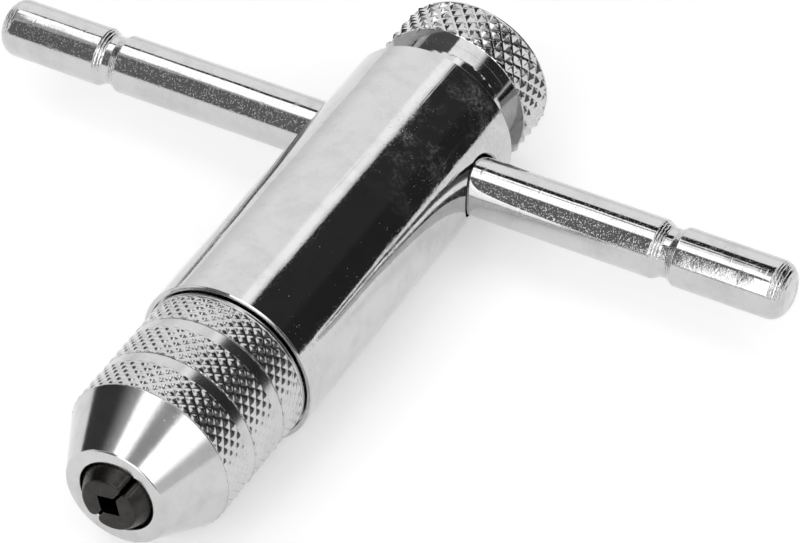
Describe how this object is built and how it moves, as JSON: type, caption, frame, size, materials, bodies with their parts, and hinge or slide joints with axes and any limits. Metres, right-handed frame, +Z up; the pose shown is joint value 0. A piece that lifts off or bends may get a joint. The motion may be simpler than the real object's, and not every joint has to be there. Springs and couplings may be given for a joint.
{
  "type": "tap wrench",
  "caption": "T-handle ratchet tap wrench: chromed tubular body, sliding cross bar, knurled two-jaw chuck for square tap shanks and a knurled selector knob.",
  "frame": {"origin": "on the tool axis at the front face of the closed jaws, where a tap's square enters", "axes": "+Y along the tool axis from the jaws to the knob, +X along the T-bar, +Z up as the tool lies on a bench"},
  "size_m": [0.1057, 0.0853, 0.022],
  "materials": {
    "body_chrome": "bright polished chrome plate",
    "bar_chrome": "polished chrome plate with fine scratches",
    "knurl_chrome": "knurled chrome plate",
    "steel": "machined steel",
    "spring_steel": "spring steel",
    "black_oxide": "black oxide, satin",
    "brass": "plain brass",
    "rubber": "nitrile rubber"
  },
  "bodies": {
    "body": {"body_sleeve": "body_chrome", "retaining_ring": "spring_steel", "thrust_washer": "brass", "pawl_carrier": "steel", "pawl_pin_upper": "steel", "pawl_pin_lower": "steel", "pawl_spring_upper": "spring_steel", "pawl_spring_lower": "spring_steel"},
    "bar": {"t_bar": "bar_chrome"},
    "selector": {"selector_sleeve": "body_chrome", "selector_knob": "knurl_chrome", "end_screw": "steel", "bar_detent_spring": "spring_steel", "selector_detent_spring": "spring_steel"},
    "bar_ball": {"bar_detent_ball": "steel"},
    "selector_ball": {"selector_detent_ball": "steel"},
    "pawl_a": {"pawl_upper": "steel"},
    "pawl_b": {"pawl_lower": "steel"},
    "spindle": {"spindle": "steel", "ratchet_wheel": "steel", "wheel_circlip": "spring_steel", "jaw_spring_upper": "spring_steel", "jaw_spring_lower": "spring_steel"},
    "ring": {"friction_ring": "rubber"},
    "nose": {"nose_sleeve": "knurl_chrome"},
    "jaw_a": {"jaw_upper": "black_oxide"},
    "jaw_b": {"jaw_lower": "black_oxide"}
  },
  "joints": [
    {"name": "bar_slide", "type": "slide", "parent": "body", "child": "bar", "axis": [1, 0, 0], "range_m": [-0.0359, 0.0392]},
    {"name": "selector_turn", "type": "hinge", "parent": "body", "child": "selector", "pos_m": [0, 0.0812, 0], "axis": [0, 1, 0], "range_deg": [0, 40]},
    {"name": "bar_ball_press", "type": "slide", "parent": "selector", "child": "bar_ball", "axis": [0, 1, 0], "range_m": [0, 0.0006], "stiffness_N_per_m": 600, "springref_m": -0.003, "deforming": ["bar_detent_spring"]},
    {"name": "selector_ball_press", "type": "slide", "parent": "selector", "child": "selector_ball", "axis": [0, 0, -1], "range_m": [0, 0.0004], "stiffness_N_per_m": 400, "springref_m": -0.002, "deforming": ["selector_detent_spring"]},
    {"name": "pawl_a_tilt", "type": "hinge", "parent": "body", "child": "pawl_a", "pos_m": [-0.00486, 0.0341, 0.00623], "axis": [0, -1, 0], "range_deg": [0, 8], "deforming": ["pawl_spring_upper"]},
    {"name": "pawl_b_tilt", "type": "hinge", "parent": "body", "child": "pawl_b", "pos_m": [-0.00486, 0.0341, -0.00623], "axis": [0, -1, 0], "range_deg": [0, 8], "deforming": ["pawl_spring_lower"]},
    {"name": "spindle_spin", "type": "hinge", "parent": "body", "child": "spindle", "pos_m": [0, 0.0341, 0], "axis": [0, 1, 0], "continuous": true},
    {"name": "nose_advance", "type": "slide", "parent": "spindle", "child": "ring", "axis": [0, -1, 0], "range_m": [0, 0.00412]},
    {"name": "nose_turn", "type": "hinge", "parent": "ring", "child": "nose", "pos_m": [0, 0.0134, 0], "axis": [0, -1, 0], "range_deg": [0, 1187]},
    {"name": "jaw_a_open", "type": "slide", "parent": "spindle", "child": "jaw_a", "axis": [-0.8241, 0, 0.5664], "range_m": [0, 0.00219], "deforming": ["jaw_spring_upper"]},
    {"name": "jaw_b_open", "type": "slide", "parent": "spindle", "child": "jaw_b", "axis": [0.8241, 0, -0.5664], "range_m": [0, 0.00219], "deforming": ["jaw_spring_lower"]}
  ],
  "couplings": [
    {"joint": "nose_turn", "follows": "nose_advance", "rad_per_m": 5026.5},
    {"joint": "jaw_a_open", "follows": "nose_advance", "ratio": 0.53171},
    {"joint": "jaw_b_open", "follows": "nose_advance", "ratio": 0.53171},
    {"joint": "pawl_a_tilt", "follows": "selector_turn", "ratio": 0.2},
    {"joint": "pawl_b_tilt", "follows": "selector_turn", "ratio": 0.2}
  ]
}
